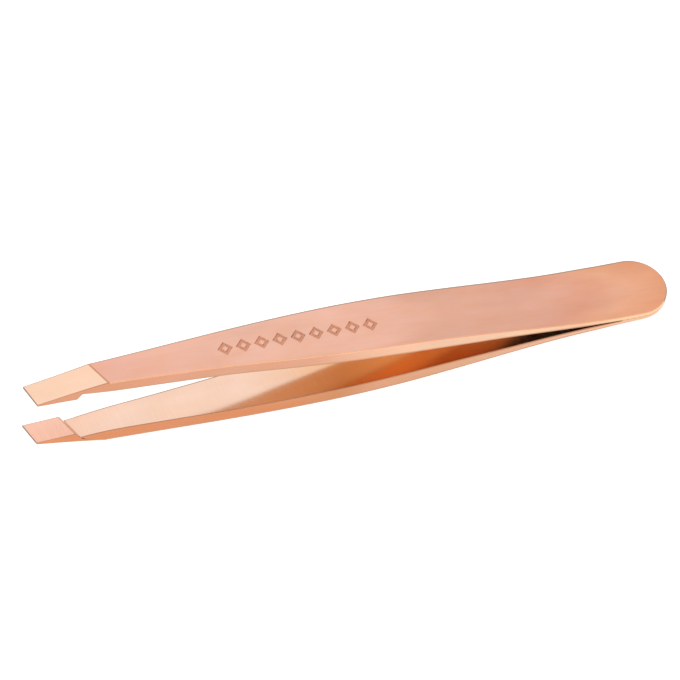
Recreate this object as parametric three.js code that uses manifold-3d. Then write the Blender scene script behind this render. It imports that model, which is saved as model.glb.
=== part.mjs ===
// Slant tweezers: two sprung steel blades, welded together at the tail, with slanted jaws ground on
// their tips. Millimetres, +Z up. The tips point along -X, Y runs across the blades, and the tweezers
// lie on the lower blade.
//
// A blade is drawn in its own frame: x runs from the tip to the tail, y across, and z outwards from
// the plane halfway between the blades. The lower blade is the mirror image of the upper one.
// Each blade is cut once, where its bending acts like a hinge, so that its front, the arm, turns on
// its heel.
import * as THREE from "three";
import { mergeVertices } from "three/addons/utils/BufferGeometryUtils.js";
import Module from "manifold-3d";

const wasm = await Module();
wasm.setup();
const { Vector2, Vector3 } = THREE;
const { degToRad } = THREE.MathUtils;

// ---------- driving dimensions ----------
const LENGTH = 95; // tip to tail end
const TAIL_RADIUS = 4.95; // the tail end is a half circle
const TIP_HALF_WIDTH = 1.75;
const TIP_SLANT = degToRad(18); // of the gripping edge, from square across
const PAD_SLANT = degToRad(23); // of the jaw pad's rear
const BEVEL_SLANT = degToRad(21.5); // of the ground outer face

const HINGE_X = 79; // where the bending of a squeezed blade acts as one hinge
const HINGE_Z = 0.88; // the middle of the blade's thickness there
const HINGE_GAP = 0.1; // slit between an arm and its heel
const OPEN_ANGLE = degToRad(3.05); // of each arm, from closed to free

const EDGE_THICKNESS = 0.3; // of the gripping edge
const BEVEL_ANGLE = degToRad(14.85); // of the ground outer face at the tip, to the closed jaw
const PAD_LENGTH = 5.9; // of the jaw pad, along its centre line
const PAD_RELIEF = 0.12; // by which the closed pad's rear stands off
const PAD_DEPTH = 1.9; // of the pad's metal, from the gripping face into the blade
const RISER_LENGTH = 0.75; // of the slope from the pad's rear up to the inner face
const RISER_HEIGHT = 1.3;

const WELD_START = 86.5; // the blades are fused from here to the tail end
const WELD_THICKNESS = 0.1;
const WELD_CLEARANCE = 0.01; // between the weld and each blade
const SEAM_Z = WELD_THICKNESS / 2 + WELD_CLEARANCE; // a blade's inner face along the weld

// The outline and the two faces of a blade as [x, value] points, joined by smooth curves.
// Ahead of the tip they run on, and the grinding of the tip cuts them off.
const HALF_WIDTHS = [[-8, 1.78], [0, 1.75], [7, 1.85], [14, 2.18], [22, 2.7], [30, 3.28], [38, 3.89],
  [46, 4.33], [54, 4.51], [64, 4.58], [74, 4.7], [84, 4.92], [LENGTH - TAIL_RADIUS, TAIL_RADIUS]];
const OUTER_FACE = [[-8, 6.65], [2, 6.62], [12, 6.57], [22, 6.42], [30, 6.18], [38, 5.7], [46, 5.17],
  [54, 4.54], [62, 3.62], [70, 2.5], [78, 1.46], [86, 0.8]];
const INNER_FACE = [[-8, 7], [5, 5.33], [9, 4.76], [13, 4.46], [21, 4.32], [29, 4.14], [37, 3.64],
  [45, 3.06], [53, 2.47], [61, 1.83], [69, 1.22], [77, 0.53], [82, 0.2], [WELD_START, SEAM_Z]];
const TAIL_OUTER_Z = 0.52; // outer face at the tail end, straight from the last point above
const REST_FACET = [45.5, 52.5]; // the flat of the lower blade that the tweezers lie on
const STATION = 2.5; // spacing of the other flats along a blade
const ARC_STEPS = 24; // around the tail end

const RUN_ON = 5; // how far a shape is drawn past the tip before it is trimmed
const REACH = 30; // larger than any height or half width of a blade

// ---------- curves ----------
const smooth = (points) => new THREE.SplineCurve(points.map(([x, value]) => new Vector2(x, value)));

// The value of a curve at one x, found by halving.
function valueAt(curve, x) {
  let low = 0;
  let high = 1;
  for (let i = 0; i < 40; i++) {
    const middle = (low + high) / 2;
    if (curve.getPoint(middle).x < x) low = middle;
    else high = middle;
  }
  return curve.getPoint(low).y;
}

const widthCurve = smooth(HALF_WIDTHS);
const outerCurve = smooth(OUTER_FACE);
const innerCurve = smooth(INNER_FACE);

// Positions along a blade, in steps that keep the rest facet whole.
function stations(from, to) {
  const list = [from, to, ...REST_FACET];
  for (let x = REST_FACET[0] - STATION; x > from; x -= STATION) list.push(x);
  for (let x = REST_FACET[1] + STATION; x < to; x += STATION) list.push(x);
  return list.sort((a, b) => a - b);
}

// ---------- solids ----------
function toSolid(geometry) {
  const bare = new THREE.BufferGeometry().setAttribute("position", geometry.getAttribute("position"));
  if (geometry.index) bare.setIndex(geometry.index);
  const merged = mergeVertices(bare, 1e-5);
  return new wasm.Manifold(new wasm.Mesh({
    numProp: 3,
    vertProperties: merged.getAttribute("position").array,
    triVerts: new Uint32Array(merged.index.array),
  }));
}

function toGeometry(solid) {
  const mesh = solid.getMesh();
  const geometry = new THREE.BufferGeometry();
  geometry.setAttribute("position", new THREE.BufferAttribute(mesh.vertProperties, 3));
  geometry.setIndex(new THREE.BufferAttribute(mesh.triVerts, 1));
  const flat = geometry.toNonIndexed();
  flat.computeVertexNormals();
  return flat;
}

// The same shape below the middle plane. Mirroring turns triangles inside out, so their corners are
// taken in reverse order.
function mirrored(geometry) {
  const copy = geometry.clone().scale(1, 1, -1);
  const corners = copy.getAttribute("position").count;
  copy.setIndex(Array.from({ length: corners }, (_, i) => corners - 1 - i));
  const flat = copy.toNonIndexed();
  flat.computeVertexNormals();
  return flat;
}

function extruded(outline, depth) {
  return new THREE.ExtrudeGeometry(new THREE.Shape(outline), { depth, bevelEnabled: false });
}

// A side profile in x and z, pushed across the blade. A slant carries it towards the tail on the -Y side.
function acrossBlade(profile, slant = 0) {
  const geometry = extruded(profile, 2 * REACH).rotateX(Math.PI / 2).translate(0, REACH, 0);
  return geometry.applyMatrix4(new THREE.Matrix4().makeShear(0, 0, -Math.tan(slant), 0, 0, 0));
}

// A plan outline in x and y, pushed through the blade from one height to another.
function throughBlade(outline, bottom, top) {
  return extruded(outline, top - bottom).translate(0, 0, bottom);
}

// Turns a shape drawn with the jaws closed to where it stands on the free, open blade.
function opened(geometry) {
  return geometry.translate(-HINGE_X, 0, -HINGE_Z).rotateY(OPEN_ANGLE).translate(HINGE_X, 0, HINGE_Z);
}

// The blade seen from above: a slanted tip, gently swelling sides and a round tail.
function planOutline() {
  const arcCentre = LENGTH - TAIL_RADIUS;
  const slantReach = 2 * TIP_HALF_WIDTH * Math.tan(TIP_SLANT);
  const side = stations(slantReach, arcCentre).slice(1, -1).map((x) => [x, valueAt(widthCurve, x)]);
  const points = [new Vector2(slantReach, -TIP_HALF_WIDTH)];
  side.forEach(([x, halfWidth]) => points.push(new Vector2(x, -halfWidth)));
  for (let i = 0; i <= ARC_STEPS; i++) {
    const angle = -Math.PI / 2 + (Math.PI * i) / ARC_STEPS;
    points.push(new Vector2(arcCentre + TAIL_RADIUS * Math.cos(angle), TAIL_RADIUS * Math.sin(angle)));
  }
  side.reverse().forEach(([x, halfWidth]) => points.push(new Vector2(x, halfWidth)));
  points.push(new Vector2(0, TIP_HALF_WIDTH));
  return points;
}

// The strip between the outer and the inner face, before the tip is ground.
function blankProfile() {
  const [lastX, lastZ] = OUTER_FACE.at(-1);
  const tailSlope = (TAIL_OUTER_Z - lastZ) / (LENGTH - lastX);
  const end = LENGTH + RUN_ON;
  const outer = stations(-RUN_ON, lastX).map((x) => new Vector2(x, valueAt(outerCurve, x)));
  outer.push(new Vector2(end, lastZ + tailSlope * (end - lastX)));
  const inner = stations(-RUN_ON, WELD_START).map((x) => new Vector2(x, valueAt(innerCurve, x)));
  inner.push(new Vector2(end, SEAM_Z));
  return [...inner, ...outer.reverse()];
}

// The jaw pad, drawn with the jaws closed: the gripping face, and the slope behind it up to the inner face.
function padProfile() {
  const riserTop = PAD_LENGTH + RISER_LENGTH;
  return [
    new Vector2(-RUN_ON, 0),
    new Vector2(0, 0),
    new Vector2(PAD_LENGTH, PAD_RELIEF),
    new Vector2(riserTop, RISER_HEIGHT),
    new Vector2(riserTop, PAD_DEPTH),
    new Vector2(-RUN_ON, PAD_DEPTH),
  ];
}

// All that grinding the outer bevel takes away, drawn with the jaws closed.
function bevelProfile() {
  const rise = Math.tan(BEVEL_ANGLE);
  return [
    new Vector2(-REACH, EDGE_THICKNESS - REACH * rise),
    new Vector2(REACH, EDGE_THICKNESS + REACH * rise),
    new Vector2(-REACH, EDGE_THICKNESS + REACH * rise),
  ];
}

// A whole upper blade.
function bladeSolid() {
  const outline = toSolid(throughBlade(planOutline(), -1, REACH));
  const blank = toSolid(acrossBlade(blankProfile()));
  const pad = toSolid(opened(acrossBlade(padProfile(), PAD_SLANT)));
  const ground = toSolid(opened(acrossBlade(bevelProfile(), BEVEL_SLANT)));
  return blank.add(pad).intersect(outline).subtract(ground);
}

// Everything between two positions along a blade.
function slab(from, to) {
  return toSolid(new THREE.BoxGeometry(to - from, REACH, REACH).translate((from + to) / 2, 0, 0));
}

// ---------- materials ----------
const satin = new THREE.MeshStandardMaterial({ color: 0xe9b49b, roughness: 0.35, metalness: 1 });
const bright = new THREE.MeshStandardMaterial({ color: 0xf2bd9c, roughness: 0.25, metalness: 1 });

function part(name, geometry, material) {
  const mesh = new THREE.Mesh(geometry, material);
  mesh.name = name;
  return mesh;
}

// ---------- the tweezers ----------
const blade = bladeSolid();
const arm = toGeometry(blade.intersect(slab(-RUN_ON, HINGE_X - HINGE_GAP / 2)));
const heel = toGeometry(blade.intersect(slab(HINGE_X + HINGE_GAP / 2, LENGTH + RUN_ON)));
const weldLayer = toSolid(throughBlade(planOutline(), -WELD_THICKNESS / 2, WELD_THICKNESS / 2));
const weld = toGeometry(weldLayer.intersect(slab(WELD_START, LENGTH + RUN_ON)));

const tweezers = new THREE.Group();
tweezers.add(
  part("upper_arm", arm, satin),
  part("upper_heel", heel, satin),
  part("lower_arm", mirrored(arm), satin),
  part("lower_heel", mirrored(heel), satin),
  part("tail_weld", weld, bright),
);

// The tweezers are tipped, tips up, until the rest facet of the lower blade lies flat.
const [restFront, restBack] = REST_FACET;
const restDrop = valueAt(outerCurve, restFront) - valueAt(outerCurve, restBack);
tweezers.rotation.y = Math.atan2(restDrop, restBack - restFront);

// The origin is the middle of the bottom of the whole object's box.
const root = new THREE.Group();
root.add(tweezers);
root.updateMatrixWorld(true);
const box = new THREE.Box3().setFromObject(tweezers, true);
const centre = box.getCenter(new Vector3());
tweezers.position.set(-centre.x, -centre.y, -box.min.z);

export default root;
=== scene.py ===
import math

import bpy
import numpy as np
from mathutils import Matrix, Vector


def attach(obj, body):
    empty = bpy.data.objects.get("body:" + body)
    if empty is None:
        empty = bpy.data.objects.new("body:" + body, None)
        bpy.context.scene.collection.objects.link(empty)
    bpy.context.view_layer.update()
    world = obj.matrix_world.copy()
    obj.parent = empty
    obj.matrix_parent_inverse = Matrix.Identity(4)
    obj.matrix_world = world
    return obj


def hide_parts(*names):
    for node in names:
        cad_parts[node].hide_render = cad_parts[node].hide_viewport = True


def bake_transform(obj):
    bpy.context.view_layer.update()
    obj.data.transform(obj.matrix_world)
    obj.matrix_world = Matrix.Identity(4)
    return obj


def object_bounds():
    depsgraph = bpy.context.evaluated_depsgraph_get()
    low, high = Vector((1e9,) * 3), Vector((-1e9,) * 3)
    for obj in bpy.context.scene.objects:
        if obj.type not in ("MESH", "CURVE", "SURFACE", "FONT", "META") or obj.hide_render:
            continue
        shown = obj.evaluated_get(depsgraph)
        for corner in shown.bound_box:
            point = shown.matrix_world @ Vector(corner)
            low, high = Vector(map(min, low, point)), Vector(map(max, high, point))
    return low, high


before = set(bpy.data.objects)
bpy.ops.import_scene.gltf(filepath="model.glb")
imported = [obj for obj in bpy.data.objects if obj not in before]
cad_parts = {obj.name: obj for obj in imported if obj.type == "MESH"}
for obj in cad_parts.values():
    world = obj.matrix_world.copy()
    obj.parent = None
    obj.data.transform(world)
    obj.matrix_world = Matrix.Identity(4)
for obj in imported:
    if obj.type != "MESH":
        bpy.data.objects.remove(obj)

CAD_BOX = [list(corner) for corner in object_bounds()]
MM = 0.001  # the blades are worked out in millimetres


# ---------- the blade's dimensions, as in the CAD ----------
LENGTH = 95.0
TAIL_RADIUS = 4.95
ARC_CENTRE = LENGTH - TAIL_RADIUS
TIP_HALF_WIDTH = 1.75
TIP_SLANT = math.tan(math.radians(18))  # of the gripping edge, as shift along the blade per width
PAD_SLANT = math.tan(math.radians(23))  # of the jaw pad's rear
BEVEL_SLANT = math.tan(math.radians(21.5))  # of the ground outer face
HINGE_X, HINGE_Z = 79.0, 0.88
OPEN_ANGLE = math.radians(3.05)
EDGE_THICKNESS = 0.3
BEVEL_SLOPE = math.tan(math.radians(14.85))
PAD_LENGTH, PAD_RELIEF = 5.9, 0.12
RISER_LENGTH, RISER_HEIGHT = 0.75, 1.3
WELD_START, SEAM_Z = 86.5, 0.06
HALF_WIDTHS = [(-8, 1.78), (0, 1.75), (7, 1.85), (14, 2.18), (22, 2.7), (30, 3.28), (38, 3.89),
               (46, 4.33), (54, 4.51), (64, 4.58), (74, 4.7), (84, 4.92), (ARC_CENTRE, TAIL_RADIUS)]
OUTER_FACE = [(-8, 6.65), (2, 6.62), (12, 6.57), (22, 6.42), (30, 6.18), (38, 5.7), (46, 5.17),
              (54, 4.54), (62, 3.62), (70, 2.5), (78, 1.46), (86, 0.8)]
INNER_FACE = [(-8, 7), (5, 5.33), (9, 4.76), (13, 4.46), (21, 4.32), (29, 4.14), (37, 3.64),
              (45, 3.06), (53, 2.47), (61, 1.83), (69, 1.22), (77, 0.53), (82, 0.2), (WELD_START, SEAM_Z)]
TAIL_OUTER_Z = 0.52
REST_FACET = (45.5, 52.5)

# ---------- the visible mesh ----------
EDGE_ROUND = 0.15  # radius of the tumbled edges
TIP_ROUND = 0.06  # radius of the ground edges of the tip
SEAM_ROUND = 0.05  # radius of the inner edges along the weld
ROUND_STEPS = 4  # mesh steps round an edge
CREASE_HALF = 0.02  # half width of the mesh strip along a ground crease
LINE_HALF = 0.13  # half width of the dark line along a crease: painted dark reflection
LIP = 0.2  # height of the bands along a side face, narrowing to the tips and the tail; the lower band is coloured darker as painted shade
RIM_FROM = 0.975  # share of the half width where the far side's dark rim starts; its colour is a painted dark reflection
STRAIGHT_FROM = 20.0  # where the slanted mesh lines have become square to the blade
TAIL_STEPS = 9  # mesh rows in the half round of the tail
SEAM_INSET = 0.02  # by which the weld stands back from the blades' outline

# ---------- the stamped row of lozenges on the upper blade ----------
STAMP_FROM, STAMP_TO = 27.0, 51.0
STAMP_COUNT = 9
STAMP_HALF_HEIGHT = 1.18
STAMP_DEPTH = 0.2
STAMP_WALL = 0.1  # share of a lozenge's half size that each sloping wall takes
STAMP_CORE = 0.4  # share of each lozenge that stays raised
STAMP_PITCH = (STAMP_TO - STAMP_FROM) / STAMP_COUNT
STAMP_HALF_LENGTH = STAMP_PITCH * 0.42
STAMP_ROWS = 36  # mesh rows per lozenge
STAMP_MARGIN = 5  # mesh rows before and after the stamped row


# ---------- curves ----------
def smooth_curve(points, steps=60):
    """A Catmull-Rom curve through the points, sampled closely, as (x values, heights)."""
    p = np.array(points, float)
    padded = np.vstack([p[:1], p, p[-1:]])
    t = np.linspace(0, 1, steps, endpoint=False)[:, None]
    spans = []
    for k in range(len(p) - 1):
        before, a, b, after = padded[k:k + 4]
        va, vb = (b - before) / 2, (after - a) / 2
        spans.append((2 * a - 2 * b + va + vb) * t**3 + (3 * b - 3 * a - 2 * va - vb) * t**2 + va * t + a)
    samples = np.vstack(spans + [p[-1:]])
    return samples[:, 0], samples[:, 1]


WIDTH_CURVE = smooth_curve(HALF_WIDTHS)
OUTER_CURVE = smooth_curve(OUTER_FACE)
INNER_CURVE = smooth_curve(INNER_FACE)


def half_width(x):
    return np.interp(x, *WIDTH_CURVE)


def outer_curve(x):
    """The outer face before the tip is ground, flat where the tweezers rest and straight at the tail."""
    last_x, last_z = OUTER_FACE[-1]
    height = np.interp(x, *OUTER_CURVE)
    tail = last_z + (TAIL_OUTER_Z - last_z) * (x - last_x) / (LENGTH - last_x)
    facet = np.interp(x, REST_FACET, np.interp(REST_FACET, *OUTER_CURVE))
    height = np.where((x > REST_FACET[0]) & (x < REST_FACET[1]), facet, height)
    return np.where(x > last_x, tail, height)


def inner_curve(x):
    return np.interp(x, *INNER_CURVE)


def opened(x, y, start, height, slope, slant):
    """Height over (x, y) on the free blade of a slanted plane that is drawn with the jaws closed.

    There it passes through (start, height) on the centre line, with that slope along the blade."""
    c, s = math.cos(OPEN_ANGLE), math.sin(OPEN_ANGLE)
    base = height + slope * (y * slant - start)
    closed_x = (x - HINGE_X + HINGE_X * c - (base - HINGE_Z) * s) / (c + slope * s)
    closed_z = base + slope * closed_x
    return HINGE_Z - (closed_x - HINGE_X) * s + (closed_z - HINGE_Z) * c


def bevel_plane(x, y):
    return opened(x, y, 0, EDGE_THICKNESS, BEVEL_SLOPE, BEVEL_SLANT)


def pad_plane(x, y):
    return opened(x, y, 0, 0, PAD_RELIEF / PAD_LENGTH, PAD_SLANT)


def riser_plane(x, y):
    return opened(x, y, PAD_LENGTH, PAD_RELIEF, (RISER_HEIGHT - PAD_RELIEF) / RISER_LENGTH, PAD_SLANT)


def lozenges(x, y):
    """Depth of the stamped row at (x, y): lozenge-shaped grooves with steep walls."""
    along = np.abs((x - STAMP_FROM) % STAMP_PITCH - STAMP_PITCH / 2) / STAMP_HALF_LENGTH
    reach = along + np.abs(y) / STAMP_HALF_HEIGHT
    outside = np.clip((1 - reach) / STAMP_WALL, 0, 1)
    core = np.clip((reach - STAMP_CORE) / STAMP_WALL, 0, 1)
    inside_row = (x > STAMP_FROM) & (x < STAMP_TO)
    groove = np.minimum(outside, core)
    return np.where(inside_row, STAMP_DEPTH * groove * groove * (3 - 2 * groove), 0)


def outer_z(x, y, stamped):
    height = np.minimum(outer_curve(x), bevel_plane(x, y))
    return height - lozenges(x, y) if stamped else height


def inner_z(x, y):
    ground = np.maximum(pad_plane(x, y), riser_plane(x, y))
    return np.minimum(ground, inner_curve(x))


# ---------- from the blade's own frame to the row frame ----------
def row_frame():
    """The blades lie tips up, with the rest facet of the lower one flat on the ground and the tail's
    end at the end of the CAD box."""
    front, back = outer_curve(np.array(REST_FACET))
    pitch = math.atan2(front - back, REST_FACET[1] - REST_FACET[0])
    tail_reach = LENGTH * math.cos(pitch) + TAIL_OUTER_Z * math.sin(pitch)
    rest_drop = REST_FACET[0] * math.sin(pitch) + front * math.cos(pitch)
    shift = Vector((CAD_BOX[1][0] - tail_reach * MM, 0, rest_drop * MM))
    return Matrix.Translation(shift) @ Matrix.Rotation(pitch, 4, "Y")


ROW = row_frame()


def in_row(x, y, z):
    """A point of the blade's frame, in millimetres, as a point of the row frame."""
    return ROW @ (Vector((x, y, z)) * MM)


# ---------- the mesh lines across a blade ----------
def crossing(first, second, y, low, high):
    """Where two heights are equal on each line of constant y, found by halving."""
    low, high = np.full_like(y, low), np.full_like(y, high)
    for _ in range(50):
        middle = (low + high) / 2
        ahead = first(middle, y) < second(middle, y)
        low, high = np.where(ahead, middle, low), np.where(ahead, high, middle)
    return low


def tip_line(y):
    return TIP_SLANT * (TIP_HALF_WIDTH - y)


def bevel_line(y):
    return crossing(bevel_plane, lambda x, _: outer_curve(x), y, 4.0, 16.0)


def pad_line(y):
    return crossing(riser_plane, pad_plane, y, 2.0, 9.0)


def riser_line(y):
    return crossing(riser_plane, lambda x, _: inner_curve(x), y, 3.0, 11.0)


def straight(x):
    return lambda y: np.full_like(y, x)


def moved(line, step):
    return lambda y: line(y) + step


# The radius of a face's rounded rim, along the blade.
def no_round(x):
    return np.zeros_like(x)


def outer_round(x):
    return np.interp(x, (3, 12), (TIP_ROUND, EDGE_ROUND))


def inner_round(x):
    return np.interp(x, (3, 9, 83, WELD_START), (TIP_ROUND, EDGE_ROUND, EDGE_ROUND, SEAM_ROUND))


def lip(x):
    """Height of the band on a side face, next to its rounded rims; the lower band's darker colour is
    painted shade.
    """
    return np.interp(x, (3, 12, 80, 88), (0.02, LIP, LIP, 0.02))


def on_blade(line, shares, rounding):
    """A line's x at each share of the half width inside the rounded rim, from -1 (near) to 1 (far)."""
    y = shares * TIP_HALF_WIDTH
    for _ in range(8):
        x = line(y)
        y = shares * (half_width(x) - rounding(x))
    return x


def tail_rows(shares, radius):
    """Rows that fill the half round of the tail: its outline is shared out over the rows' two ends
    and the last row."""
    def rim(angle):
        return np.stack([ARC_CENTRE + radius * np.cos(angle), radius * np.sin(angle)], -1)
    quarter = math.pi / 4
    b = ((shares + 1) / 2)[None, :, None]
    a = (np.arange(TAIL_STEPS + 1) / TAIL_STEPS)[:, None, None]
    left = np.stack([np.full_like(shares, ARC_CENTRE), radius * shares], -1)[None]
    right = rim(shares * quarter)[None]
    near = rim(-math.pi / 2 + a[:, :, 0] * quarter)
    far = rim(math.pi / 2 - a[:, :, 0] * quarter)
    corners = ((1 - a) * (1 - b) * left[:, :1] + (1 - a) * b * left[:, -1:]
               + a * (1 - b) * right[:, :1] + a * b * right[:, -1:])
    grid = (1 - a) * left + a * right + (1 - b) * near + b * far - corners
    return grid[1:, :, 0], grid[1:, :, 1]


def blade_rows(lines, counts, shares, rounding):
    """Mesh rows from the first line to the end of the tail, with counts of steps between the lines."""
    keys = [on_blade(line, shares, rounding) for line in lines]
    rows = [keys[0]]
    for a, b, count in zip(keys, keys[1:], counts):
        rows += [a + (b - a) * k / count for k in range(1, count + 1)]
    x = np.array(rows)
    y = shares * (half_width(x) - rounding(x))
    tail_x, tail_y = tail_rows(shares, TAIL_RADIUS - rounding(LENGTH))
    return np.vstack([x, tail_x]), np.vstack([y, tail_y])


# ---------- meshes ----------
FINISHES = ("outer", "stamp", "bevel", "line", "shine", "edge", "lip", "rim", "inner", "pad")


def rim_order(rows, columns):
    """The rim of a grid: the near side from tip to tail, the tail, the far side and the tip."""
    loop = [(i, 0) for i in range(rows)]
    loop += [(rows - 1, j) for j in range(1, columns)]
    loop += [(i, columns - 1) for i in range(rows - 2, -1, -1)]
    loop += [(0, j) for j in range(columns - 2, 0, -1)]
    return loop


def unit(vectors):
    return vectors / np.linalg.norm(vectors, axis=-1, keepdims=True)


def face_normal(height, up, x, y):
    """The direction in which a face of that height looks at (x, y)."""
    step = 0.01
    along = (height(x + step, y) - height(x - step, y)) / (2 * step)
    across = (height(x, y + step) - height(x, y - step)) / (2 * step)
    return unit(np.stack([-up * along, -up * across, np.full_like(along, up)], -1))


def face(height, up, lines, counts, shares, rounding):
    """One face of a blade as a list of (points, normals): its grid, then the rings that round its rim and
    the ring where the band of the side face ends; the lower band is coloured darker, painted shade."""
    x, y = blade_rows([moved(lines[0], TIP_ROUND)] + lines[1:], counts, shares, rounding)
    rim_x, rim_y = blade_rows(lines, counts, shares, no_round)
    layers = [(np.stack([x, y, height(x, y)], -1), face_normal(height, up, x, y))]
    loop = tuple(np.array(rim_order(*x.shape)).T)
    inside = np.stack([x[loop], y[loop]], -1)
    outside = np.stack([rim_x[loop], rim_y[loop]], -1)
    run = np.roll(outside, -1, 0) - np.roll(outside, 1, 0)
    outward = unit(np.stack([run[:, 1], -run[:, 0], np.zeros(len(run))], -1))
    radius = rounding(inside[:, 0])
    for k in range(1, ROUND_STEPS + 1):
        turn = math.pi / 2 * k / ROUND_STEPS
        px, py = (inside + (outside - inside) * math.sin(turn)).T
        drop = up * radius * (1 - math.cos(turn))
        tilted = face_normal(height, up, px, py) * math.cos(turn) + outward * math.sin(turn)
        layers.append((np.stack([px, py, height(px, py) - drop], -1), unit(tilted)))
    rim, _ = layers[-1]
    layers.append((rim - up * lip(rim[:, :1]) * (0, 0, 1), outward))
    return layers


def solid(name, top, bottom, finish_of, sign):
    """A closed solid between two faces, in the row frame, below the middle plane for sign -1.

    finish_of(strip, row, side) names the finish of a quad. strip counts from the top grid, 0, over the
    rim to the bottom grid. side is the column on a grid and near, far or end between them. A top quad
    that lies deep in a lozenge's groove has the stamped finish, a darker colour that is painted shade."""
    rows, columns = top[0][0].shape[:2]
    parts = [top[0]] + top[1:] + bottom[:0:-1] + [bottom[0]]
    points = np.concatenate([p.reshape(-1, 3) for p, _ in parts])
    normals = np.concatenate([n.reshape(-1, 3) for _, n in parts])
    loop = rim_order(rows, columns)
    on_grid = np.array([i * columns + j for i, j in loop])
    sizes = [p.size // 3 for p, _ in parts]
    starts = np.cumsum([0] + sizes[:-1])
    chain = [on_grid] + [start + np.arange(len(loop)) for start in starts[1:-1]] + [starts[-1] + on_grid]
    last = len(chain)
    faces, finishes = [], []
    for i in range(rows - 1):
        for j in range(columns - 1):
            a = i * columns + j
            quad = (a, a + columns, a + columns + 1, a + 1)
            faces += [quad, tuple(starts[-1] + v for v in reversed(quad))]
            x, y = points[list(quad), :2].mean(0)
            # quads deep in a groove take the stamped colour, darker than the face: painted shade in the
            # recess
            sunk = sign > 0 and lozenges(x, y) > STAMP_DEPTH / 2
            finishes += ["stamp" if sunk else finish_of(0, i, j), finish_of(last, i, j)]
    for k, (upper_ring, lower_ring) in enumerate(zip(chain, chain[1:])):
        for p, (i, j) in enumerate(loop):
            q = (p + 1) % len(loop)
            faces.append((upper_ring[q], upper_ring[p], lower_ring[p], lower_ring[q]))
            next_i, _ = loop[q]
            side = "end" if i == next_i else "near" if j == 0 else "far"
            finishes.append(finish_of(k + 1, min(i, next_i), side))
    flip = np.array([1, 1, sign])
    turn = np.array(ROW.to_3x3())
    points = (points * flip * MM) @ turn.T + np.array(ROW.translation)
    normals = (normals * flip) @ turn.T
    if sign < 0:
        faces = [tuple(reversed(f)) for f in faces]
    mesh = bpy.data.meshes.new(name)
    mesh.from_pydata(points.tolist(), [], [tuple(int(v) for v in f) for f in faces])
    mesh.polygons.foreach_set("material_index", [FINISHES.index(f) for f in finishes])
    mesh.shade_smooth()
    mesh.normals_split_custom_set_from_vertices(normals.tolist())
    obj = bpy.data.objects.new(name, mesh)
    bpy.context.scene.collection.objects.link(obj)
    return obj


def blade(name, sign, stamped, near_rim, lips):
    """A whole blade from tip to tail, above the middle plane for sign 1 and below it for -1.

    near_rim names the finish of the near side's outer rim, and lips those of the side face's bands beside
    the outer and the inner face. The upper blade's near rim is a painted highlight and the lower's a
    painted dark reflection; the lip finish on each side face's lower band is painted shade."""
    side = np.linspace(1, 0.5, 6)
    middle = np.linspace(-0.42, 0.42, 43 if stamped else 5)  # close together across the lozenges
    shares = np.concatenate([-side, middle, side[:0:-1], (RIM_FROM, 1)])
    last_column = len(shares) - 2
    margin = STAMP_MARGIN * STAMP_PITCH / STAMP_ROWS
    body_lines = [straight(STRAIGHT_FROM), straight(STAMP_FROM - margin), straight(STAMP_TO + margin),
                  straight(WELD_START), straight(ARC_CENTRE)]
    body_counts = [7, STAMP_COUNT * STAMP_ROWS + 2 * STAMP_MARGIN if stamped else 16, 36, 4]
    outer_lines = [tip_line, moved(bevel_line, -CREASE_HALF), moved(bevel_line, CREASE_HALF),
                   moved(bevel_line, 2 * LINE_HALF)]
    outer_counts = [20, 1, 2, 13]
    inner_lines = [tip_line, moved(pad_line, -LINE_HALF), moved(pad_line, CREASE_HALF),
                   moved(riser_line, -CREASE_HALF), moved(riser_line, 2 * CREASE_HALF)]
    inner_counts = [11, 2, 3, 1, 19]
    bevel_row = sum(outer_counts[:1])
    line_row = sum(outer_counts[:3])
    pad_row, pad_edge_row = inner_counts[0], sum(inner_counts[:2])
    weld_row = sum(inner_counts + body_counts[:3])
    top = face(lambda x, y: outer_z(x, y, stamped), 1, outer_lines + body_lines,
               outer_counts + body_counts, shares, outer_round)
    bottom = face(inner_z, -1, inner_lines + body_lines, inner_counts + body_counts, shares, inner_round)
    wall = ROUND_STEPS + 2

    # the band behind the bevel's crease and the one at the pad's edge take the dark line colour: painted
    # dark reflection
    def outer_finish(row):
        return "bevel" if row < bevel_row else "line" if row < line_row else "outer"

    def inner_finish(row):
        return "pad" if row < pad_row else "line" if row < pad_edge_row else "inner"

    def finish_of(strip, row, side):
        # the far column, the far rims and the rims at the tip's front end take the dark rim colour:
        # painted dark reflection
        if side == last_column:
            return "rim"
        if side not in ("near", "far", "end"):
            return outer_finish(row) if strip == 0 else inner_finish(row)
        # the side face takes the blade's side colours, which are painted light and shade
        if strip == wall:
            return "rim" if side == "end" and row < line_row else "edge"
        # the band beside a rim takes the blade's lip or side colour; the lip, on the lower band, is
        # painted shade
        if abs(strip - wall) == 1:
            return "rim" if side == "end" and row < line_row else lips[strip > wall]
        if side != "near":
            return "rim"
        # near rims take the dark line colour, a painted dark reflection: the inner ones up to the weld,
        # the outer ones along the bevel
        if strip > wall:
            return "line" if row < weld_row else "edge"
        return "line" if row < line_row else near_rim

    return solid(name, top, bottom, finish_of, sign)


def weld_seam():
    """The fused layer between the tails, a hair inside their outline."""
    shares = np.linspace(-1, 1, 13)
    x, y = blade_rows([straight(WELD_START), straight(ARC_CENTRE)], [4], shares, straight(SEAM_INSET))
    up = np.broadcast_to((0.0, 0.0, 1.0), x.shape + (3,))
    top = [(np.stack([x, y, np.full_like(x, SEAM_Z)], -1), up)]
    bottom = [(np.stack([x, y, np.full_like(x, -SEAM_Z)], -1), -up)]
    obj = solid("weld_seam", top, bottom, lambda *_: "edge", 1)
    obj.data.shade_flat()
    return obj


# ---------- materials ----------
REACH = 110.0  # millimetres from the tips over which colours are placed


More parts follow.
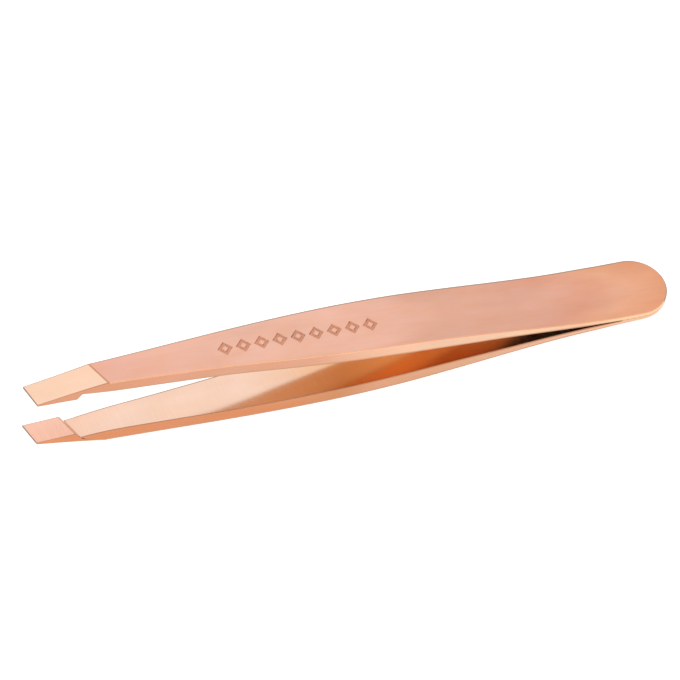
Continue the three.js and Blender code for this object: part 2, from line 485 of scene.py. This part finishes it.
def metal(name, colours, roughness, grain, turn=0.0, streak=0.04, bump=0.1, mottle=0.03, fade=0.0,
          glance=1.0):
    """Rose-gold coated steel with a brushed grain.

    colours lists (millimetres from the tips, colour), blended along the blade. fade, per millimetre,
    brings the colour from farther back toward the blade's sides; on the outer face that spreads a painted
    golden sheen. grain is the noise's frequency in cycles per metre along X, Y and Z, before it is turned
    about Z. glance scales grazing reflection."""
    material = bpy.data.materials.new(name)
    material.use_nodes = True
    nodes, links = material.node_tree.nodes, material.node_tree.links
    shader = nodes["Principled BSDF"]
    shader.inputs["Metallic"].default_value = 1.0
    shader.inputs["Specular Tint"].default_value = (glance, glance, glance, 1)
    place = nodes.new("ShaderNodeTexCoord").outputs["Object"]

    def noise(scale, detail, rotation=0.0):
        turned = nodes.new("ShaderNodeMapping")
        turned.inputs["Rotation"].default_value = (0, 0, rotation)
        scaled = nodes.new("ShaderNodeMapping")
        scaled.inputs["Scale"].default_value = scale
        texture = nodes.new("ShaderNodeTexNoise")
        texture.inputs["Scale"].default_value = 1.0
        texture.inputs["Detail"].default_value = detail
        links.new(place, turned.inputs["Vector"])
        links.new(turned.outputs["Vector"], scaled.inputs["Vector"])
        links.new(scaled.outputs["Vector"], texture.inputs["Vector"])
        return texture.outputs["Fac"]

    def spread(source, low, high, start=0.25, end=0.75):
        ranged = nodes.new("ShaderNodeMapRange")
        ranged.inputs["From Min"].default_value = start
        ranged.inputs["From Max"].default_value = end
        ranged.inputs["To Min"].default_value = low
        ranged.inputs["To Max"].default_value = high
        links.new(source, ranged.inputs["Value"])
        return ranged.outputs["Result"]

    def combined(operation, first, second):
        node = nodes.new("ShaderNodeMath")
        node.operation = operation
        for socket, value in zip(node.inputs, (first, second)):
            if isinstance(value, float):
                socket.default_value = value
            else:
                links.new(value, socket)
        return node.outputs[0]

    split = nodes.new("ShaderNodeSeparateXYZ")
    links.new(place, split.inputs["Vector"])
    from_middle = combined("MULTIPLY", split.outputs["Y"], split.outputs["Y"])
    shifted = combined("ADD", split.outputs["X"], combined("MULTIPLY", from_middle, fade / MM))
    ramp = nodes.new("ShaderNodeValToRGB")
    stops = ramp.color_ramp.elements
    stops.remove(stops[1])
    for k, (from_tip, colour) in enumerate(colours):
        stop = stops.new(from_tip / REACH) if k else stops[0]
        stop.position = from_tip / REACH
        stop.color = (*colour, 1)
    links.new(spread(shifted, 0, 1, CAD_BOX[0][0], CAD_BOX[0][0] + REACH * MM), ramp.inputs["Fac"])
    streaks = noise(grain, 3.0, turn)
    clouds = noise(CLOUDS, 2.0)
    brightness = combined("MULTIPLY", spread(streaks, 1 - streak, 1 + streak),
                          spread(clouds, 1 - mottle, 1 + mottle))
    hue = nodes.new("ShaderNodeCombineXYZ")
    hue.inputs["X"].default_value = 1.0
    tones = noise(TONES, 2.0)
    links.new(spread(tones, 1 - mottle, 1 + mottle), hue.inputs["Y"])
    links.new(spread(tones, 1 - 2 * mottle, 1 + 2 * mottle), hue.inputs["Z"])
    toned = nodes.new("ShaderNodeVectorMath")
    toned.operation = "MULTIPLY"
    links.new(ramp.outputs["Color"], toned.inputs[0])
    links.new(hue.outputs["Vector"], toned.inputs[1])
    tint = nodes.new("ShaderNodeVectorMath")
    tint.operation = "SCALE"
    links.new(toned.outputs[0], tint.inputs[0])
    links.new(brightness, tint.inputs["Scale"])
    links.new(tint.outputs[0], shader.inputs["Base Color"])
    links.new(spread(streaks, roughness * 0.85, roughness * 1.15), shader.inputs["Roughness"])
    raised = nodes.new("ShaderNodeBump")
    raised.inputs["Strength"].default_value = bump
    raised.inputs["Distance"].default_value = 0.00002
    links.new(streaks, raised.inputs["Height"])
    links.new(raised.outputs["Normal"], shader.inputs["Normal"])
    return material


ALONG = (300, 5000, 500)  # streaks that run along the blade
ACROSS = (6500, 300, 500)  # streaks that run across it
SIDE = (300, 500, 5000)  # streaks along the blade on an upright face
SPECKLE = (2600, 3400, 2600)  # the even grain of blasted metal
CLOUDS = (110, 330, 330)  # broad changes of brightness
TONES = (160, 420, 420)  # broad changes of hue
BRUSHED_TURN = math.radians(-8)  # of the inner faces' brushing, off square across

# outer face colours along the blade, toned down near the tips against the bright light there and golden
# towards the tail: painted shade and painted sheen
OUTER_PAINTED_LIGHT = [(9, (0.77, 0.41, 0.31)), (24, (0.80, 0.46, 0.35)), (40, (0.83, 0.48, 0.365)),
         (54, (0.84, 0.475, 0.36)), (62, (0.78, 0.425, 0.31)), (74, (0.79, 0.42, 0.305)),
         (83, (0.775, 0.385, 0.27)), (90, (0.83, 0.425, 0.27)), (96, (0.81, 0.37, 0.21))]
# inner face tints by place along the blade, different for the two blades' alike faces: painted reflection
INNER_REAR_PAINTED_REFLECTION = [(46, (0.69, 0.385, 0.205)), (54, (0.78, 0.44, 0.235)), (62, (0.75, 0.455, 0.265)),
              (70, (0.80, 0.58, 0.42)), (78, (0.92, 0.75, 0.62))]
UPPER_INNER_PAINTED_REFLECTION = [(30, (0.70, 0.41, 0.235)), (38, (0.70, 0.40, 0.21))] + INNER_REAR_PAINTED_REFLECTION
LOWER_INNER_PAINTED_REFLECTION = [(6, (0.71, 0.465, 0.35)), (14, (0.71, 0.485, 0.375)), (32, (0.71, 0.485, 0.375)),
               (38, (0.70, 0.45, 0.32))] + INNER_REAR_PAINTED_REFLECTION
# side face colours of each blade, the same metal in lit and shaded copies: darker at the tips and
# brighter, more golden, towards the tail, the upper blade's lighter than the lower's; painted light and
# shade
UPPER_EDGE_PAINTED_LIGHT = [(12, (0.61, 0.275, 0.155)), (20, (0.64, 0.305, 0.195)), (34, (0.615, 0.315, 0.20)),
              (42, (0.67, 0.345, 0.225)), (54, (0.79, 0.485, 0.33)), (60, (0.74, 0.465, 0.325)),
              (74, (0.78, 0.52, 0.335)), (80, (0.78, 0.49, 0.31)), (92, (0.88, 0.58, 0.30))]
LOWER_EDGE_PAINTED_LIGHT = [(12, (0.65, 0.255, 0.115)), (38, (0.65, 0.265, 0.12)), (44, (0.60, 0.275, 0.13)),
              (50, (0.65, 0.325, 0.19)), (62, (0.655, 0.365, 0.215)), (76, (0.70, 0.42, 0.285)),
              (92, (0.78, 0.47, 0.31))]


def metals(edge, inner):
    """A blade's materials, in the order of FINISHES."""
    return [
        # outer face colours, spread toward the sides: painted shade and a painted golden sheen
        metal("satin_outer_painted_light", OUTER_PAINTED_LIGHT, 0.42, ALONG, streak=0.03, bump=0.12, mottle=0.045, fade=0.35),
        # the grooves' darker colour is painted shade
        metal("groove_painted_shade", [(30, (0.66, 0.31, 0.20))], 0.4, SPECKLE),
        metal("ground_bevel", [(3, (0.765, 0.52, 0.38))], 0.3, SPECKLE, streak=0.02, bump=0.05),
        # dark line colour along creases and rims: painted dark reflection
        metal("line_painted_dark_reflection", [(5, (0.60, 0.29, 0.17))], 0.45, SIDE),
        # bright rim colour: painted highlight
        metal("rim_painted_highlight", [(5, (0.88, 0.47, 0.30))], 0.25, SIDE),
        # side faces: colours that paint light and shade
        metal("side_painted_light_and_shade", edge, 0.25, SIDE, streak=0.03, bump=0.05),
        # darker lower band of a side face: painted shade
        metal("lip_painted_shade", [(5, (0.54, 0.30, 0.19))], 0.35, SIDE),
        # dark grey-brown rim colour and low grazing tint: painted dark reflection
        metal("rim_painted_dark_reflection", [(5, (0.45, 0.305, 0.225))], 0.35, SPECKLE, glance=0.3),
        # inner face colours: painted reflection
        metal("brushed_inner_painted_reflection", inner, 0.13, ACROSS, BRUSHED_TURN, streak=0.03, bump=0.06),
        metal("ground_jaw", [(3, (0.77, 0.455, 0.345))], 0.3, ACROSS, BRUSHED_TURN, streak=0.09, bump=0.1),
    ]


def finished(obj, materials, slot, *cad_nodes):
    """Coats a piece and lets it stand for its CAD nodes."""
    for material in materials:
        obj.data.materials.append(material)
    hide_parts(*cad_nodes)


# ---------- the tweezers ----------
BEND_FROM, BEND_TO = 86.0, 72.0  # either side of the hinge, where a blade would start and stop bending; they are only placed in the row frame, and nothing bends

upper_metals = metals(UPPER_EDGE_PAINTED_LIGHT, UPPER_INNER_PAINTED_REFLECTION)
lower_metals = metals(LOWER_EDGE_PAINTED_LIGHT, LOWER_INNER_PAINTED_REFLECTION)
# the upper blade's near outer rim gets a painted highlight
upper = blade("upper_blade_skin", 1, True, "shine", ("edge", "lip"))
finished(upper, upper_metals, "satin_rose_gold", "upper_arm", "upper_heel")
in_row(BEND_FROM, 0, 0)
in_row(BEND_TO, 0, 0)
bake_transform(upper)
# the lower blade's near outer rim takes the dark line colour: painted dark reflection
lower = blade("lower_blade_skin", -1, False, "line", ("lip", "edge"))
finished(lower, lower_metals, "satin_rose_gold", "lower_arm", "lower_heel")
in_row(BEND_FROM, 0, 0)
in_row(BEND_TO, 0, 0)
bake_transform(lower)
seam = weld_seam()
finished(seam, lower_metals, "weld_seam", "tail_weld")
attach(seam, "tail")


# ---------- floor, light and camera ----------
TABLE_GLOW = 0.78  # the white table is lit from below, so the tweezers cast no visible shadow
WALLS = 0.95


def floor():
    half = 3.0
    corners = [(-half, -half, 0), (half, -half, 0), (half, half, 0), (-half, half, 0)]
    mesh = bpy.data.meshes.new("floor")
    mesh.from_pydata(corners, [], [(0, 1, 2, 3)])
    obj = bpy.data.objects.new("floor", mesh)
    bpy.context.scene.collection.objects.link(obj)
    material = bpy.data.materials.new("lit_white_table")
    material.use_nodes = True
    shader = material.node_tree.nodes["Principled BSDF"]
    shader.inputs["Base Color"].default_value = (0.5, 0.5, 0.5, 1)
    shader.inputs["Roughness"].default_value = 0.8
    shader.inputs["Specular IOR Level"].default_value = 0.2
    shader.inputs["Emission Color"].default_value = (1, 1, 1, 1)
    shader.inputs["Emission Strength"].default_value = TABLE_GLOW
    mesh.materials.append(material)


def softbox(name, place, aim, width, height, radiance):
    """A soft light of that radiance, facing aim. Its power follows from its size."""
    light = bpy.data.lights.new(name, "AREA")
    light.shape = "RECTANGLE"
    light.size, light.size_y = width, height
    light.energy = radiance * math.pi * width * height
    obj = bpy.data.objects.new(name, light)
    obj.location = place
    obj.rotation_euler = (Vector(aim) - Vector(place)).to_track_quat("-Z", "Y").to_euler()
    bpy.context.scene.collection.objects.link(obj)


def studio():
    """Soft white walls all round, and a softbox over the tips."""
    world = bpy.data.worlds.new("studio")
    world.use_nodes = True
    world.node_tree.nodes["Background"].inputs["Color"].default_value = (1, 1, 1, 1)
    world.node_tree.nodes["Background"].inputs["Strength"].default_value = WALLS
    bpy.context.scene.world = world
    softbox("overhead", (-0.04, 0.45, 0.8), (-0.04, 0.45, 0), 0.66, 0.7, 0.4)


CAMERA_AZIMUTH = math.radians(18.14)  # from square on to the blades, towards the tips
CAMERA_ELEVATION = math.radians(53.8)
CAMERA_PITCH = math.radians(5.06)  # tips up, as the tweezers lie under that camera
CAMERA_DISTANCE = 0.5
LENS, SENSOR = 187.84, 36.0
AIM_LEFT, AIM_UP = 0.00178, 0.00119  # of the aim, from the middle of the tweezers


def camera():
    """The view is set by the blades' own frame, so it holds whatever facet they rest on."""
    data = bpy.data.cameras.new("camera")
    data.lens, data.sensor_width = LENS, SENSOR
    data.clip_start, data.clip_end = 0.01, 20
    obj = bpy.data.objects.new("camera", data)
    bpy.context.scene.collection.objects.link(obj)
    swing, lift = CAMERA_AZIMUTH, CAMERA_ELEVATION
    back = Vector((-math.sin(swing) * math.cos(lift), -math.cos(swing) * math.cos(lift), math.sin(lift)))
    right = Vector((math.cos(swing), -math.sin(swing), 0))
    up = back.cross(right)
    turn = ROW.to_3x3() @ Matrix.Rotation(-CAMERA_PITCH, 3, "Y")
    centre = in_row(LENGTH / 2, 0, 0)
    eye = turn @ (back * CAMERA_DISTANCE)
    aim = turn @ (up * AIM_UP - right * AIM_LEFT)
    forward = (aim - eye).normalized()
    side = forward.cross(turn @ up).normalized()
    above = side.cross(forward)
    basis = Matrix((side, above, -forward)).transposed()
    obj.matrix_world = Matrix.Translation(centre + eye) @ basis.to_4x4()
    bpy.context.scene.camera = obj


floor()
studio()
camera()
bpy.context.scene.view_settings.view_transform = "Standard"
